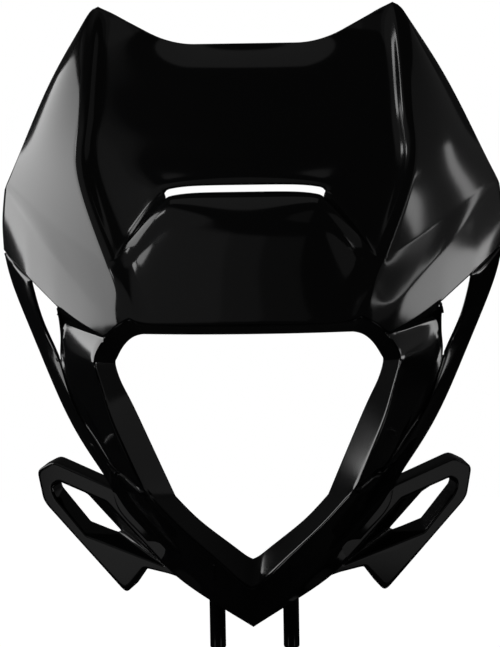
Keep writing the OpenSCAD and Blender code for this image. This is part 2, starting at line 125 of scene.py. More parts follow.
# Landmarks of the right half, from the top down. The up rows end at the slot, the low rows start
# there; crest_in is the inner line of the flat crest, middle the centre line, outer the silhouette.
crest_in_up = [
    HORN,
    (CREST_X - 4, 1, 333),
    (CREST_X - 2, -7, 308),
    (CREST_X, -15, 282),
    (CREST_X, -23, 253.5),
    (75.7, -39, 206.7),
]
middle_up = [
    (0, 2, TOP_Z),
    (0, -8, TOP_Z - 12.5),
    (0, -15, 298),
    (0, -22, 280),
    (0, -28, 262.5),
    (0, -34, SLOT_Z),
]
outer_up = [
    (HORN[0] + 5.4, 9, HORN[2] - 3.7),
    (HALF_W - 50, 13, 334.5),
    (HALF_W - 34.5, 21, 309.5),
    (HALF_W - 20, CORNER_Y - 20, 281),
    (HALF_W - 10.8, CORNER_Y - 13, 261.5),
    (HALF_W - 4.4, CORNER_Y - 7, SHOULDER_Z + 5.5),
]
crest_in_low = [
    (75.3, -39.4, 205.8),
    (73.6, -41, 202),
    (70.3, -45, 193.5),
    (66.2, -49, 182),
    (62.7, -52, BROW_Z + 1.4),
]
middle_low = [
    (0, -34 - STEP_H, SLOT_Z - SLOT_GAP),
    (0, -36 - 2 * STEP_H, SLOT_Z - SLOT_GAP - 5),
    (0, BROW_Y + 7, 218),
    (0, BROW_Y + 3, 192),
    (0, BROW_Y, BROW_Z),
]
outer_low = [
    (HALF_W - 3.7, CORNER_Y - 6.5, SHOULDER_Z + 4),
    (HALF_W - 2.8, CORNER_Y - 6, SHOULDER_Z + 2),
    (HALF_W - 2, CORNER_Y - 5, SHOULDER_Z),
]
corner_edge = [
    (HALF_W - 2, CORNER_Y - 5, SHOULDER_Z),
    (HALF_W, CORNER_Y - 2, (SHOULDER_Z + CORNER_Z) / 2),
    (HALF_W - 0.3, CORNER_Y, CORNER_Z),
]
crest_out_end = np.array([66.3, -50.5, BROW_Z + 3.1])
cheek_crease = [
    crest_out_end,
    (83.6, -39.9, 177.5),
    (99, -23.9, 192),
    (115, -4.8, 208.3),
    (132, 20.2, 225.5),
    (HALF_W - 2, CORNER_Y - 5, SHOULDER_Z),
]
rim_corner = [crest_out_end, (73.6, -47.8, BROW_Z - 0.8), (82, -41.5, BROW_Z - 8)]
ledge_line = [rim_corner[2], (91.5, -32, 165.2), (102, -20, 170.5), (113.3, -6, 177.5)]
gap_line = [ledge_line[3], (131.8, CORNER_Y - 32, CORNER_Z - 14.5)]
cheek_foot = [
    gap_line[1],
    (136.4, CORNER_Y - 24, CORNER_Z - 11),
    (141, CORNER_Y - 16, CORNER_Z - 7.3),
    (145.4, CORNER_Y - 8, CORNER_Z - 3.8),
    corner_edge[2],
]
side_rim = [
    rim_corner[2],
    (RIM_X, -38, 148.8),
    (RIM_X - 2.7, -38, 135.5),
    (80, -38, 114.5),
    (72.6, -37, 95.7),
    (65.1, -35, 79),
    (57.1, -33, 66.4),
]
chin_rim = [
    side_rim[-1],
    (43, -31, 51),
    (29.2, -29, 37.6),
    (15, -27, 24),
    (5, -26, RIM_LOW + 2.5),
    (0, -26, RIM_LOW),
]
side_eye = [
    (EYE_X - 1.6, -14, 146.5),
    (EYE_X - 0.9, -13, 143),
    (74.6, -12.5, 133),
    (68.8, -12, 121),
    (60.1, -11.5, 101.5),
    (51.7, -10, 82),
    (44.5, -7.5, 65),
]
chin_eye = [
    side_eye[-1],
    (34, -6, 53.6),
    (23.6, -5, 44.4),
    (12, -4.5, 35.4),
    (4.1, -4, EYE_LOW + 2.2),
    (0, -4, EYE_LOW),
]
EYE_FLAT = 60.5
eye_turn = [
    (EYE_FLAT, -23, EYE_TOP - 0.4),
    (66.5, -20.5, 159.6),
    (72.4, -17.5, 154.3),
    side_eye[0],
]
side_crease = [
    (111, 6, 168.3),
    (110, 6, 151.7),
    (107, 3, 137),
    (99, -3, 118.5),
    (90, -8, 100),
    (78.5, -18, 82),
    side_rim[-1],
]
side_edge = [
    gap_line[0],
    (112.6, 11, 158.5),
    (113, 12, 144.2),
    (106.8, 5.2, 124),
    (95.6, -4, 104),
    (80.4, -16.8, 84),
    side_rim[-1],
]
arm_in = [
    gap_line[1],
    (124.3, 19, 165),
    (114, 11.4, 144),
    (107, 3.4, 123.5),
    (96, -5.4, 103.7),
    (80.6, -17.8, 84),
    side_rim[-1],
]
GAP_END = 2
jaw_out = [
    corner_edge[2],
    (145.6, CORNER_Y - 2, 189.3),
    (137.6, CORNER_Y - 7, 168.6),
    (127, 36, 144.7),
    (112.8, 24, 114),
    (98, 13, 89.5),
    FIN + (0.6, 0.2, 0.5),
    FIN + (-4.4, 1.5, -14.6),
    FIN + (-18.4, -0.1, -30.1),
    FIN + (-33, -2.3, -48.6),
    (27, -9.8, 3.7),
    (0, CHIN_Y, CHIN_Z),
]
FOLD_START = 6
jaw_fold = [
    FIN + (-2, -0.4, -1.2),
    FIN + (-12, -1.6, -13),
    FIN + (-25.5, -3.4, -27.6),
    FIN + (-41, -7, -43),
    (21, -13.2, 5.6),
    (0, CHIN_Y - 1, CHIN_Z + 1.8),
]
FIN_TURN, FIN_LEAN = math.radians(20), math.radians(12)
FIN_EDGE, FIN_DEPTH = 12.0, 14.0
FIN_R = 0.9
# Outwards and down from the fin's corner: outline, front of the hole, rear of the hole.
fin_landmarks = [
    ((0, 0), (3.5, 9), (19.8, 9.8)),
    ((34, -14.2), (31.7, -2.3), (33.6, 1.2)),
    ((36.4, -13.9), (33.4, -2.1), (34.6, 1.5)),
    ((44.2, -9.6), (35.6, -0.4), (35.6, 2)),
    ((45, -7), (36.4, 1), (36.2, 2.6)),
    ((42.3, 8.7), (36, 4.5), (35.9, 4)),
    ((40, 12.6), (34.2, 8.6), (35.4, 5.5)),
    ((20.8, 34.2), (16.5, 30.3), (19, 26)),
    ((-4.6, 62.8), (4, 34.7), (14, 27.8)),
    ((-7, 64.4), (1.6, 35.6), (13, 28.2)),
    ((-9.2, 62.9), (-1, 36.5), (11.8, 28.6)),
    ((-18.8, 48.9), (-12, 40.4), (7.5, 30.2)),
    ((-33.4, 51.8), (-28, 46.1), (2.2, 31.9)),
    ((-41, 54.2), (-31, 47.2), (0.6, 31)),
    ((-41, 43.5), (-27, 42.8), (3, 28.3)),
    ((-25.5, 27.6), (-17.5, 32.3), (8.1, 22.7)),
    ((-12, 13), (-5, 18.4), (15.1, 15)),
    ((-2, 1.2), (2, 10.6), (19, 10.7)),
]


def plate_columns():
    """Shares of the way to the crest: even to the slot's end, then to the fillet, then fine."""
    slot_part = SLOT_HALF / crest_in_up[-1][0]
    fillet_part = 1 - FILLET_W / crest_in_up[-1][0]
    runs = (
        spread(0, slot_part, 32)[:-1],
        spread(slot_part, fillet_part, 12)[:-1],
        spread(fillet_part, 1, 10),
    )
    return np.concatenate(runs), 32


def plate(c, r, s, s0, soft, power, depth):
    """Rows from the middle line c to the crest r: crowned, risen, with a fillet at the crest.

    y goes from c to r as the share s to a power, and drops by `depth` along a parabola that
    takes up the last FILLET_W before the crest; z climbs as rise() says.
    """
    c, r = c[:, None, :], r[:, None, :]
    s0, soft, power, depth = (np.reshape(q, (-1, 1)) for q in (s0, soft, power, depth))
    f = 1 - FILLET_W / r[..., 0]
    edge = np.clip((s - f) / (1 - f), 0, None) ** 2
    x = r[..., 0] * s
    y = c[..., 1] + (r[..., 1] + depth - c[..., 1]) * s**power - depth * edge
    z = lerp(c[..., 2], r[..., 2], rise(s, s0, soft))
    return np.stack([x, y, z], -1)


def crest_out(r, v):
    """Outer line of the flat crest, beside its inner line r."""
    f = fade(v)
    return np.stack(
        [
            r[:, 0] + lerp(3.4, CREST_W, f),
            r[:, 1] + 0.3,
            r[:, 2] - lerp(1.5, 0.2, f) - np.maximum(0, 3 * (v - 0.45)),
        ],
        -1,
    )


def rungs(a, b, s, crown):
    """Straight rungs from a to b, crowned outwards as 4 s (1 - s)."""
    a, b = a[:, None, :], b[:, None, :]
    crown = np.reshape(crown, (-1, 1, 1))
    s = s[None, :, None]
    return lerp(a, b, s) + crown * 4 * s * (1 - s) * CROWN_WAY


def cheek_columns():
    """Shares of the way across the cheek, with the places where its lower edge changes."""
    foot = [rim_corner[0], rim_corner[2], gap_line[0], gap_line[1], corner_edge[2]]
    x = np.array([p[0] for p in foot])
    cuts = (x - x[0]) / (x[-1] - x[0])
    counts = [10, 16, 8, 10]
    runs = [spread(cuts[i], cuts[i + 1], counts[i])[:-1] for i in range(4)]
    marks = np.cumsum([0] + counts)
    return np.concatenate(runs + [[1.0]]), marks, cuts


def foot_line(s, cuts):
    """Lower edge of the cheek at the shares s: one bent strip for each of its four runs."""
    out = np.zeros((len(s), 3))
    for i, run in enumerate((rim_corner, ledge_line, gap_line, cheek_foot)):
        p = np.asarray(run, float)
        own = (s >= cuts[i] - 1e-9) & (s <= cuts[i + 1] + 1e-9)
        knots = (p[:, 0] - p[0, 0]) / (p[-1, 0] - p[0, 0])
        t = (s[own] - cuts[i]) / (cuts[i + 1] - cuts[i])
        out[own] = bend(p, t, knots) if len(p) > 2 else lerp(p[0], p[1], t[:, None])
    return out


def shield_skin():
    """Plate, crest, brow and cheek as one grid, with the rows between the slot's lips in it.

    The cheek is rungs from the crest's outer line to the outer edge. Below the slot they swing
    down to the cheek's crease, and the facet runs from there to the foot. The slot's lips roll
    back by a parabola of the way from the edge and droop towards their ends by a fifth power.
    """
    s, slot_col = plate_columns()
    cs, marks, cuts = cheek_columns()
    ups = spread(0, 5, 62)
    v = 0.75 * ups / 5
    r = bend(crest_in_up, ups)
    c = bend(middle_up, ups)
    share = ups / 5
    s0, soft = lerp(RISE_TOP, RISE_STEP, share), lerp(0.16, 0.05, share)
    upper_plate = plate(c, r, s, s0, soft, 2, RECESS * fade(v))
    out = crest_out(r, v)
    upper_cheek = rungs(out, bend(outer_up, ups), cs, bend(CHEEK_CROWN, ups)[:, 0] * fade(v))
    lows = spread(0, 4, 44)
    share = lows / 4
    v = 0.75 + 0.25 * share
    r = bend(crest_in_low, lows)
    c = bend(middle_low, lows)
    power = lerp(7, 2, np.minimum(1, 2.5 * share))
    lower_plate = plate(c, r, s, RISE_STEP, lerp(0.05, 0.2, share), power, RECESS * fade(v))
    own = crest_out(r, v)
    low_out = own + (crest_out_end - own[-1]) * (share**2)[:, None]
    above = lows <= 2
    lower_cheek = np.zeros((len(lows), len(cs), 3))
    fan = rungs(low_out[above], bend(outer_low, lows[above]), cs, CHEEK_CROWN[-1][0] * fade(0.75))
    x = np.array([p[0] for p in cheek_crease])
    crease = bend(cheek_crease, cs, (x - x[0]) / (x[-1] - x[0]))
    crease = crease + (low_out[above][-1] - crease[0]) * (np.clip(1 - cs / 0.3, 0, 1) ** 2)[:, None]
    lower_cheek[above] = fan + (lows[above] / 2)[:, None, None] * (crease - fan[-1])
    foot = foot_line(cs, cuts)
    t = ((lows[~above] - 2) / 2)[:, None, None]
    edge = bend(corner_edge, t[:, 0, 0] * 2)
    straight = lerp(crease, foot, t)
    inner = (low_out[~above] - straight[:, 0])[:, None, :] * ((1 - cs) ** 2)[:, None]
    outer = (edge - straight[:, -1])[:, None, :] * (cs**3)[:, None]
    lower_cheek[~above] = straight + inner + outer

    def flat(a, b):
        return lerp(a[:, -1:], b[:, :1], spread(0, 1, 4)[None, 1:-1, None])

    upper = np.concatenate([upper_plate, flat(upper_plate, upper_cheek), upper_cheek], 1)
    lower = np.concatenate([lower_plate, flat(lower_plate, lower_cheek), lower_cheek], 1)
    for rows, (droop, end_droop) in zip((upper[::-1], lower), LIP_DROOPS):
        d = np.linalg.norm(rows - rows[:1], axis=2)
        inside = np.clip((SLOT_HALF + LIP_W - rows[..., 0]) / LIP_W, 0, 1)
        rows[..., 1] += LIP_ROLL * np.clip(1 - d / LIP_W, 0, 1) ** 2 * inside
        beyond = np.clip((DROOP_END - rows[..., 0]) / DROOP_REACH, 0, 1)
        near = np.clip(1 - d / DROOP_REACH, 0, 1) ** 2 * beyond
        ends = np.minimum(rows[..., 0] / SLOT_HALF, 1) ** 5 * beyond
        rows[..., 2] -= (droop + end_droop * ends) * near
    risers = lerp(upper[-1], lower[0], spread(0, 1, 4)[1:-1, None, None])
    grid = np.concatenate([upper, risers, lower], 0)
    open_cells = np.zeros((len(grid) - 1, grid.shape[1] - 1), bool)
    open_cells[len(upper) - 1 : len(upper) + 3, :slot_col] = True
    seam = len(s) + 2 + marks
    return grid, open_cells, seam


def matched(points, n_each):
    """The strip bent through the points, with n_each cells between neighbouring landmarks."""
    return bend(points, spread(0, len(points) - 1, n_each * (len(points) - 1)))


SIDE_STEP = 10
CHIN_STEP = 9
TUNNEL_ROWS = 16


def opening_skins(shield, seam):
    """The wall from the front rim to the rear edge of the headlight opening: straight rungs."""
    top = shield[-1, : seam[1] + 1]
    rim = np.concatenate([top, matched(side_rim, SIDE_STEP)[1:], matched(chin_rim, CHIN_STEP)[1:]])
    n_brow = seam[0]
    s = np.minimum(top[: n_brow + 1, 0] / top[n_brow, 0] * 1.06, 1)
    flat = np.stack([s * EYE_FLAT, -36 + 13 * s * s, EYE_TOP - 0.4 * s * s], -1)
    turn = bend(eye_turn, spread(0, 3, seam[1] - n_brow + 1))[1:]
    eye_top = np.concatenate([flat[:-1], turn])
    sides = matched(side_eye, SIDE_STEP)[1:], matched(chin_eye, CHIN_STEP)[1:]
    eye = np.concatenate([eye_top, *sides])
    t = spread(0, 1, TUNNEL_ROWS)
    return lerp(rim[:, None], eye[:, None], t[None, :, None])


def side_skins(shield, seam):
    """Bezel's side, its ledge under the cheek, the jaw band, and the step between the two.

    Each is straight rungs between two bent rails. The jaw is crowned as 4 s (1 - s) up to its
    fold and flat beyond it.
    """
    rim = matched(side_rim, SIDE_STEP)
    crease = matched(side_crease, SIDE_STEP)
    edge = matched(side_edge, SIDE_STEP)
    n = seam[2] - seam[1]
    t = spread(0, 1, n)[None, :, None]
    face = lerp(rim[:, None], crease[:, None], t)
    start = lerp(rim[0], crease[0], t[0])
    face[0] = start
    strip = lerp(crease[:, None], edge[:, None], spread(0, 1, 4)[None, 1:, None])
    bezel = np.concatenate([face, strip], 1)
    foot = shield[-1]
    ledge = lerp(foot[seam[1] : seam[2] + 1], start, spread(0, 1, 5)[:, None, None])
    close = lerp(start[-1:], foot[seam[2]], spread(0, 1, 4)[1:, None])
    bezel[0, n + 1 :] = close
    ledge[:, -1] = lerp(foot[seam[2]], start[-1], spread(0, 1, 5)[:, None])
    inner = np.concatenate([matched(arm_in, SIDE_STEP), matched(chin_rim, CHIN_STEP)[1:]])
    n_jaw = seam[4] - seam[3]
    knots = jaw_knots()
    outer = bend(jaw_out, np.interp(spread(0, 1, len(inner) - 1), *knots))
    crown = np.array([0, -JAW_CROWN, 0])
    fold = lerp(inner, outer, 0.75) + crown
    low = spread(0, 1, len(inner) - 1) > knots[0][FOLD_START] - NEAR
    places = np.interp(spread(0, 1, len(inner) - 1)[low], *knots) - FOLD_START
    fold[low] = bend(jaw_fold, places)
    s = spread(0, 1, 12)[None, :, None]
    band = lerp(inner[:, None], fold[:, None], s) + 4 * s * (1 - s) * crown
    facet = lerp(fold[:, None], outer[:, None], spread(0, 1, 5)[None, 1:, None])
    jaw = np.concatenate([band, facet], 1)
    first = foot[seam[3] : seam[4] + 1]
    at = spread(0, n_jaw, jaw.shape[1] - 1)
    jaw[0] = np.stack([np.interp(at, np.arange(n_jaw + 1), first[:, k]) for k in range(3)], -1)
    rows = slice(GAP_END * SIDE_STEP, None)
    arm = matched(arm_in, SIDE_STEP)
    valley = lerp(edge[rows, None], arm[rows, None], spread(0, 1, 2)[None, :, None])
    return bezel, ledge, jaw, valley


def jaw_knots():
    """Shares along the inner rail at which the outer rail's landmarks lie, and their numbers."""
    n_side = SIDE_STEP * (len(arm_in) - 1)
    n_chin = CHIN_STEP * (len(chin_rim) - 1)
    total = n_side + n_chin
    marks = [SIDE_STEP * k for k in range(len(arm_in))]
    marks += [n_side + CHIN_STEP * k for k in range(1, len(chin_rim))]
    return np.array(marks) / total, np.arange(len(marks), dtype=float)


def join(skins):
    """One mesh from grids: [grid, turned over, open cells]. Points that meet are merged."""
    points, faces, count = [], [], 0
    for grid, over, gone in skins:
        rows, cols = grid.shape[:2]
        number = np.arange(rows * cols).reshape(rows, cols) + count
        a, b = number[:-1, :-1], number[:-1, 1:]
        c, d = number[1:, 1:], number[1:, :-1]
        quads = np.stack([a, b, c, d], -1)
        quads = quads[~gone] if gone is not None else quads.reshape(-1, 4)
        faces.append(quads[:, ::-1] if over else quads)
        points.append(grid.reshape(-1, 3))
        count += rows * cols
    points = np.concatenate(points)
    faces = np.concatenate(faces)
    _, first, where = np.unique(np.round(points, 3), axis=0, return_index=True, return_inverse=True)
    return points[first], where.reshape(-1)[faces]


def triangles(quads):
    """Triangles of the quads, without those that have shrunk to a line."""
    t = np.concatenate([quads[:, [0, 1, 2]], quads[:, [0, 2, 3]]])
    real = (t[:, 0] != t[:, 1]) & (t[:, 1] != t[:, 2]) & (t[:, 2] != t[:, 0])
    return t[real]


def mirrored(points, faces):
    """The half and its mirror image, merged on the middle plane."""
    points = points.copy()
    points[np.abs(points[:, 0]) < 0.02, 0] = 0
    other = points * (-1, 1, 1)
    both = np.concatenate([points, other])
    faces = np.concatenate([faces, faces[:, ::-1] + len(points)])
    _, first, where = np.unique(np.round(both, 3), axis=0, return_index=True, return_inverse=True)
    return both[first], where.reshape(-1)[faces]


def normals(points, tris):
    """Unit normal at every point, weighted by the area of the faces round it."""
    n = np.cross(points[tris[:, 1]] - points[tris[:, 0]], points[tris[:, 2]] - points[tris[:, 0]])
    out = np.zeros_like(points)
    for k in range(3):
        np.add.at(out, tris[:, k], n)
    return out / np.maximum(np.linalg.norm(out, axis=1, keepdims=True), 1e-12)


def borders(tris):
    """Directed edges that only one triangle has."""
    e = np.concatenate([tris[:, [0, 1]], tris[:, [1, 2]], tris[:, [2, 0]]])
    key = np.sort(e, 1)
    _, where, count = np.unique(key, axis=0, return_inverse=True, return_counts=True)
    return e[count[where.reshape(-1)] == 1]


def eased(values, links, held, times):
    """Each point moves half way to the mean of its neighbours, `times` over; held ones stay."""
    for _ in range(times):
        total = np.zeros_like(values)
        number = np.zeros(len(values))
        for a, b in ((0, 1), (1, 0)):
            np.add.at(total, links[:, a], values[links[:, b]])
            np.add.at(number, links[:, a], 1)
        mean = total / np.maximum(number, 1)[:, None]
        values = np.where(held[:, None], values, (values + mean) / 2)
    return values


def grid_links(quads):
    """Undirected edges of the quads, each once."""
    e = np.concatenate([quads[:, [0, 1]], quads[:, [1, 2]], quads[:, [2, 3]], quads[:, [3, 0]]])
    e = np.sort(e, 1)
    e = e[e[:, 0] != e[:, 1]]
    return np.unique(e, axis=0)


def thick(points, quads, wall, radius):
    """A moulding of even wall: front skin, back skin, and a rounded rim round every free edge.

    The back skin lies one wall behind the front along normals that are evened out over a few
    cells, so that inside corners come out round. A rim is a quarter round, a flat and a
    quarter round; its centre lies `radius` inside the free edge.
    """
    tris = triangles(quads)
    links = grid_links(quads)
    rim = borders(tris)
    on_rim = np.zeros(len(points), bool)
    on_rim[rim] = True
    points = eased(points, links, on_rim, 2)
    n = normals(points, tris)
    even = eased(n, links, np.zeros(len(points), bool), 8)
    even /= np.linalg.norm(even, axis=1, keepdims=True)
    way = np.zeros_like(points)
    np.add.at(way, rim[:, 0], points[rim[:, 1]] - points[rim[:, 0]])
    np.add.at(way, rim[:, 1], points[rim[:, 1]] - points[rim[:, 0]])
    out = np.cross(way, n)
    out /= np.maximum(np.linalg.norm(out, axis=1, keepdims=True), 1e-12)
    edge = np.flatnonzero(on_rim)
    front = points.copy()
    front[edge] -= radius * out[edge]
    back = points - wall * even
    back[edge] = points[edge] - wall * n[edge] - radius * out[edge]
    ring = []
    for turn in (45, 90):
        a = math.radians(turn)
        ring.append(front[edge] + radius * (math.sin(a) * out[edge] - (1 - math.cos(a)) * n[edge]))
    for turn in (90, 45):
        a = math.radians(turn)
        ring.append(back[edge] + radius * (math.sin(a) * out[edge] + (1 - math.cos(a)) * n[edge]))
    count = len(points)
    place = np.full(count, -1)
    place[edge] = np.arange(len(edge))
    levels = [np.arange(count)]
    for k in range(4):
        levels.append(np.where(place >= 0, 2 * count + k * len(edge) + place, -1))
    levels.append(np.arange(count) + count)
    start, end = rim[:, 0], rim[:, 1]
    sides = [
        np.stack([near[end], near[start], far[start], far[end]], -1)
        for near, far in zip(levels[:-1], levels[1:])
    ]
    all_points = np.concatenate([front, back] + ring)
    all_tris = np.concatenate([tris, tris[:, ::-1] + count] + [triangles(q) for q in sides])
    return all_points, all_tris


def add_mesh(name, points, faces, material, smooth=math.radians(40)):
    """A mesh object at the origin, in metres, shaded smooth up to the given angle."""
    mesh = bpy.data.meshes.new(name)
    mesh.from_pydata((np.asarray(points) * MM).tolist(), [], np.asarray(faces).tolist())
    mesh.validate()
    mesh.update()
    piece = bpy.data.objects.new(name, mesh)
    bpy.context.scene.collection.objects.link(piece)
    mesh.polygons.foreach_set("use_smooth", np.ones(len(mesh.polygons), bool))
    mesh.set_sharp_from_angle(angle=smooth)
    mesh.materials.append(material)
    return piece


def black_gloss():
    """Gloss black moulded plastic: near-black body and clear reflections."""
    m = bpy.data.materials.new("black_gloss_plastic")
    m.use_nodes = True
    b = m.node_tree.nodes["Principled BSDF"]
    b.inputs["Base Color"].default_value = (0.0025, 0.0026, 0.0028, 1)
    b.inputs["Roughness"].default_value = 0.1
    b.inputs["IOR"].default_value = 1.5
    return m


def moulding():
    """The shell: all the skins joined, mirrored and given their wall."""
    shield, gone, seam = shield_skin()
    tunnel = opening_skins(shield, seam)
    bezel, ledge, jaw, valley = side_skins(shield, seam)
    skins = [
        (shield, True, gone),
        (tunnel, False, None),
        (bezel, True, None),
        (ledge, True, None),
        (jaw, True, None),
        (valley, True, None),
    ]
    points, quads = join(skins)
    points, quads = mirrored(points, quads)
    return thick(points, quads, WALL, EDGE_R)


def outwards(points, tris):
    """The triangles turned so that the closed mesh has a positive volume."""
    a, b, c = points[tris[:, 0]], points[tris[:, 1]], points[tris[:, 2]]
    volume = (np.cross(a, b) * c).sum()
    return points, tris if volume > 0 else tris[:, ::-1]


def closed(grid, ends=False):
    """Mesh of a grid whose columns run in a ring; its rows do too, or end in points."""
    rows, cols = grid.shape[:2]
    number = np.arange(rows * cols).reshape(rows, cols)
    a, d = (number[:-1], number[1:]) if ends else (number, np.roll(number, -1, 0))
    quads = np.stack([a, np.roll(a, -1, 1), np.roll(d, -1, 1), d], -1).reshape(-1, 4)
    points = grid.reshape(-1, 3)
    _, first, where = np.unique(np.round(points, 4), axis=0, return_index=True, return_inverse=True)
    return outwards(points[first], triangles(where.reshape(-1)[quads]))


def loop(points, counts, soft=0):
    """A closed chain of straight sides with counts[k] cells each; `soft` rounds of averaging."""
    p = np.asarray(points, float)
    after = np.roll(p, -1, 0)
    sides = [lerp(p[k], after[k], spread(0, 1, n)[:-1, None]) for k, n in enumerate(counts)]
    out = np.concatenate(sides)
    for _ in range(soft):
        out = (2 * out + np.roll(out, 1, 0) + np.roll(out, -1, 0)) / 4
    return out


def inset(ring, d):
    """A ring moved d to its inner side."""
    t = np.roll(ring, -1, 0) - np.roll(ring, 1, 0)
    n = np.stack([-t[:, 1], t[:, 0]], -1)
    return ring + d * n / np.maximum(np.linalg.norm(n, axis=1, keepdims=True), 1e-9)


def quarter(radius, angles):
    """Steps round a quarter circle: (how far in from the side, how far down from the top)."""
    turns = [math.radians(a) for a in angles]
    return [(radius * (1 - math.cos(a)), radius * (1 - math.sin(a))) for a in turns]


def on_fin(p, depth):
    """Front view places p, outwards and down from the fin's corner, laid on its leaning face."""
    cos_l, sin_l = math.cos(FIN_LEAN), math.sin(FIN_LEAN)
    cos_t, sin_t = math.cos(FIN_TURN), math.sin(FIN_TURN)
    down = p[..., 1] / cos_l
    out = (p[..., 0] + down * sin_t * sin_l) / cos_t
    y = down * sin_l + depth * cos_l
    z = depth * sin_l - down * cos_l
    return FIN + np.stack([out * cos_t - y * sin_t, out * sin_t + y * cos_t, z], -1)


def fin():
    """A fin: face, wall round its outline and funnel round its hole, as one closed ring of rings.

    Each ring follows the outline or the hole; the profile across the rings goes over the face's
    rounded edge, down the funnel, round its rear rim, back behind the face and round the
    outer wall's rear rim.
    """
    marks = np.array(fin_landmarks, float)
    sides = np.linalg.norm(np.roll(marks[:, 0], -1, 0) - marks[:, 0], axis=1)
    counts = np.maximum(3, np.round(sides / 1.1)).astype(int)
    outline = loop(marks[:, 0], counts, 3)
    hole = loop(marks[:, 1], counts, 2)
    rear = loop(marks[:, 2], counts, 2)
    bevel = quarter(FIN_R, (0, 22.5, 45, 67.5, 90))
    rings = [(inset(outline, across), depth) for across, depth in bevel]
    lip = [(inset(hole, -across), depth) for across, depth in bevel[::-1]]
    rings += [(lerp(rings[-1][0], lip[0][0], t), 0.0) for t in spread(0, 1, 8)[1:-1]] + lip
    rings += [(lerp(hole, rear, t), lerp(FIN_R, FIN_DEPTH - 0.6, t)) for t in spread(0, 1, 10)[1:]]
    rings += [(inset(rear, -0.6), FIN_DEPTH), (inset(rear, 0.6 - WALL), FIN_DEPTH)]
    rings += [(inset(rear, -WALL), FIN_DEPTH - 0.6), (inset(hole, -WALL), WALL)]
    rings += [(inset(outline, WALL), WALL), (inset(outline, WALL), FIN_EDGE - 0.6)]
    rings += [(inset(outline, WALL - 0.6), FIN_EDGE), (inset(outline, 0.6), FIN_EDGE)]
    rings += [(outline, lerp(FIN_EDGE - 0.6, FIN_R, t)) for t in spread(0, 1, 3)[:-1]]
    return closed(np.stack([on_fin(p, depth - 0.08) for p, depth in rings]))


def edge_rings(ring, low, high, radius):
    """Rings up the side of a slab with rounded edges: (flat ring, height)."""
    bevel = quarter(radius, (90, 60, 30, 0))
    under = [(inset(ring, across), low + up) for across, up in bevel]
    return under + [(p, low + high - h) for p, h in under[::-1]]


def slab(ring, low, high, radius=0.5):
    """A flat slab over the ring, from the height low to high, its edges rounded."""
    middle = np.repeat(ring.mean(0)[None], len(ring), 0)
    rows = [(middle, low)] + edge_rings(ring, low, high, radius) + [(middle, high)]
    return closed(np.stack([np.insert(p, 2, h, axis=1) for p, h in rows]), ends=True)


def lug(root, eye, low, hole_r):
    """A level lug: a slab from its root in the wall to a rounded eye with a hole through it.

    The outline is the root's corners and a half circle round the eye; the hole's ring is the
    outline drawn in to a circle along the straight way from the eye.
    """
    arc = [eye + LUG_R * np.array([math.cos(a), math.sin(a)]) for a in spread(0, math.pi, 24)]
    corners = [np.array(p, float) for p in root] + arc
    ring = loop(corners, [6] * (len(root) - 1) + [12] + [1] * 24 + [12])
    way = ring - eye
    hole = eye + hole_r * way / np.linalg.norm(way, axis=1, keepdims=True)
    rows = edge_rings(ring, low, low + LUG_T, 0.5) + edge_rings(hole, low, low + LUG_T, -0.3)[::-1]
    return closed(np.stack([np.insert(p, 2, h, axis=1) for p, h in rows]))


def turned(profile, x, n=64):
    """A revolved piece on the upright axis at x; profile is a list of (radius, height)."""
    a = spread(0, 2 * math.pi, n)[:-1]
    rows = [np.stack([x + r * np.cos(a), r * np.sin(a), np.full(n, z)], -1) for r, z in profile]
    return closed(np.stack(rows), ends=True)


def peg():
    """A locating peg with a rounded end."""
    shank = [(0, SHELF_Z + 1), (PEG_R, SHELF_Z + 1), (PEG_R, -10)]
    bevel = quarter(PEG_ROUND, (0, 18, 36, 54, 72, 90))
    end = [(PEG_R - across, up - PEG_L) for across, up in bevel]
    return turned(shank + end + [(0, -PEG_L)], PEG_PITCH / 2)


def gusset():
    """The upright rib over a peg, between the shelf and the chin."""
    ring = loop([(-11.5, 6), (4, 6), (4, 9), (-19, 27), (-23, 25.5)], [8, 3, 12, 3, 10])
    points, tris = slab(ring, -GUSSET_T / 2, GUSSET_T / 2)
    return outwards(points[:, [2, 0, 1]] + (PEG_PITCH / 2, 0, 0), tris)


def shelf():
    """The level shelf behind the chin that carries both pegs."""
    side = [(10, -18.6), (19, -13), (26, -8), (PEG_PITCH / 2 + 5, 2), (PEG_PITCH / 2, PEG_R + 1.5)]
    corners = [(0, -21)] + side + [(-x, y) for x, y in side[::-1]]
    return slab(loop(corners, [6] * len(corners)), SHELF_Z, SHELF_Z + SHELF_T)


def pair(piece):
    """A piece of the right half and its mirror image."""
    points, tris = piece
    return [(points, tris), (points * (-1, 1, 1), tris[:, ::-1])]


def whole():
    """All that is moulded in one shot, as one mesh."""
    pieces = [moulding(), shelf()]
    for piece in (fin(), peg(), gusset(), lug(*LAMP_LUG), lug(*STRAP_LUG)):
        pieces += pair(piece)
    shift = np.cumsum([0] + [len(p) for p, _ in pieces])
    points = np.concatenate([p for p, _ in pieces])
    return points, np.concatenate([t + k for (_, t), k in zip(pieces, shift)])


gloss = black_gloss()
points, tris = whole()
shell = add_mesh("mask_moulding", points, tris, gloss)
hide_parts("mask")
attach(shell, "root")

VIEW_AZ, VIEW_EL, VIEW_ROLL = 2.8, 5.0, -0.956
VIEW_DIST = 2.2
PIXEL = 0.5855 * MM
FRAME_H = 647
AIM = Vector((0.00025, 0, 0.165))
FLOOR_HALF, FLOOR_Z = 6.0, -0.75


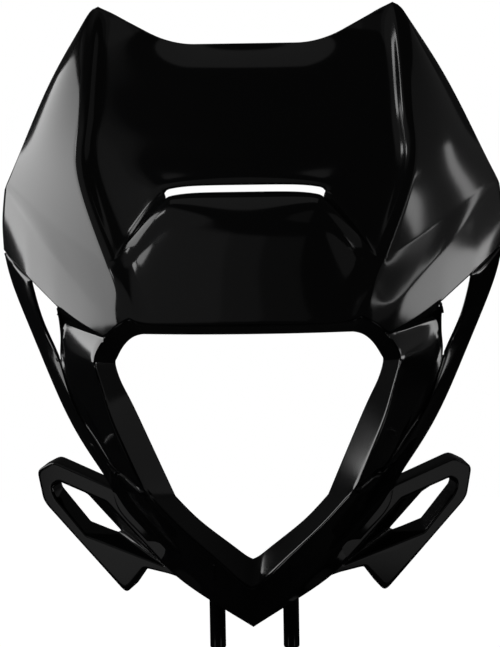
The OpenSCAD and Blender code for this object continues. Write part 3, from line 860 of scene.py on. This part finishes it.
def camera():
    """Long lens in front of the mask, at the photograph's angle."""
    cam = bpy.data.cameras.new("camera")
    o = bpy.data.objects.new("camera", cam)
    bpy.context.scene.collection.objects.link(o)
    az, el = math.radians(VIEW_AZ), math.radians(VIEW_EL)
    way = Vector((math.sin(az) * math.cos(el), -math.cos(az) * math.cos(el), math.sin(el)))
    o.location = AIM + way * VIEW_DIST
    o.rotation_euler = (-way).to_track_quat("-Z", "Y").to_euler()
    o.rotation_euler.rotate_axis("Z", math.radians(VIEW_ROLL))
    cam.sensor_fit = "VERTICAL"
    cam.sensor_height = 24
    cam.lens = cam.sensor_height * VIEW_DIST / (FRAME_H * PIXEL)
    bpy.context.scene.camera = o


# name, turn, height, wide, tall, light, roll, dist
LAMPS = [
    ("left_box", -93.2, 13, 58.4, 38, 3.2, 8, 0.5),
    ("front_left_tube", -56, 25, 12, 5, 5.0, 18),
    ("right_band", 107, -5.6, 32, 5, 3.0, 6),
    ("right_tube", 72.5, 4.9, 49, 1.2, 3.0, 6.3),
    ("right_window", 110.3, 3.5, 3.5, 9, 2.3),
    ("right_wall", 88, 13, 75, 34, 0.09),
    ("near_wall", -36, 17, 48, 38, 0.045),
    ("middle_wall", -30, 17, 66, 34, 0.045),
    ("far_wall", -22, 17, 84, 29, 0.045),
    ("ceiling", -5, 67, 60, 32, 0.17),
    ("low_left", -46, -30, 16, 12, 0.35, 0, 1.3),
    ("low_right", 46, -30, 16, 12, 0.3, 0, 1.3),
]


def softbox(name, turn, height, wide, tall, light, roll=0, dist=3.0):
    """Area lamp that the mask sees `turn` degrees round from its front and `height` degrees up.

    `wide` and `tall` are the degrees it covers, `roll` lifts its front end and `light` is its
    radiance. Left turns are negative.
    """
    a, e = math.radians(turn), math.radians(height)
    way = Vector((math.sin(a) * math.cos(e), -math.cos(a) * math.cos(e), math.sin(e)))
    place = AIM + dist * way
    lamp = bpy.data.lights.new(name, "AREA")
    lamp.shape = "RECTANGLE"
    lamp.size = 2 * dist * math.tan(math.radians(wide / 2))
    lamp.size_y = 2 * dist * math.tan(math.radians(tall / 2))
    lamp.energy = light * math.pi * lamp.size * lamp.size_y
    o = bpy.data.objects.new(name, lamp)
    bpy.context.scene.collection.objects.link(o)
    o.location = place
    o.rotation_euler = (AIM - place).to_track_quat("-Z", "Y").to_euler()
    o.rotation_euler.rotate_axis("Z", math.radians(roll if turn < 0 else -roll))
    return o


def grey_by_ray(nodes, links, ray, usual, special, socket):
    """Feeds the socket with the grey `special` for that kind of ray and `usual` for the rest."""
    path = nodes.new("ShaderNodeLightPath")
    mix = nodes.new("ShaderNodeMix")
    mix.data_type = "RGBA"
    mix.inputs["A"].default_value = (usual, usual, usual, 1)
    mix.inputs["B"].default_value = (special, special, special, 1)
    links.new(path.outputs[ray], mix.inputs["Factor"])
    links.new(mix.outputs["Result"], socket)
    return path


def studio():
    """Dim room, white to the camera: one great softbox on the left, slim strips on the right."""
    world = bpy.data.worlds.new("studio")
    bpy.context.scene.world = world
    world.use_nodes = True
    nodes, links = world.node_tree.nodes, world.node_tree.links
    back = nodes["Background"]
    back.inputs["Strength"].default_value = 1
    grey_by_ray(nodes, links, "Is Camera Ray", 0.03, 1, back.inputs["Color"])
    for lamp in LAMPS:
        softbox(*lamp)
    add_floor()


def add_floor():
    """Pale floor, white to the camera and dark in the mask's reflections."""
    floor = bpy.data.meshes.new("floor")
    w, low = FLOOR_HALF, FLOOR_Z
    corners = [(-w, -w, low), (w, -w, low), (w, w, low), (-w, w, low)]
    floor.from_pydata(corners, [], [(0, 1, 2, 3)])
    f = bpy.data.objects.new("floor", floor)
    bpy.context.scene.collection.objects.link(f)
    m = bpy.data.materials.new("pale_floor")
    m.use_nodes = True
    nodes, links = m.node_tree.nodes, m.node_tree.links
    b = nodes["Principled BSDF"]
    b.inputs["Roughness"].default_value = 0.9
    b.inputs["Emission Color"].default_value = (1, 1, 1, 1)
    path = grey_by_ray(nodes, links, "Is Glossy Ray", 0.85, 0.03, b.inputs["Base Color"])
    links.new(path.outputs["Is Camera Ray"], b.inputs["Emission Strength"])
    floor.materials.append(m)


camera()
studio()
bpy.context.scene.view_settings.view_transform = "Standard"
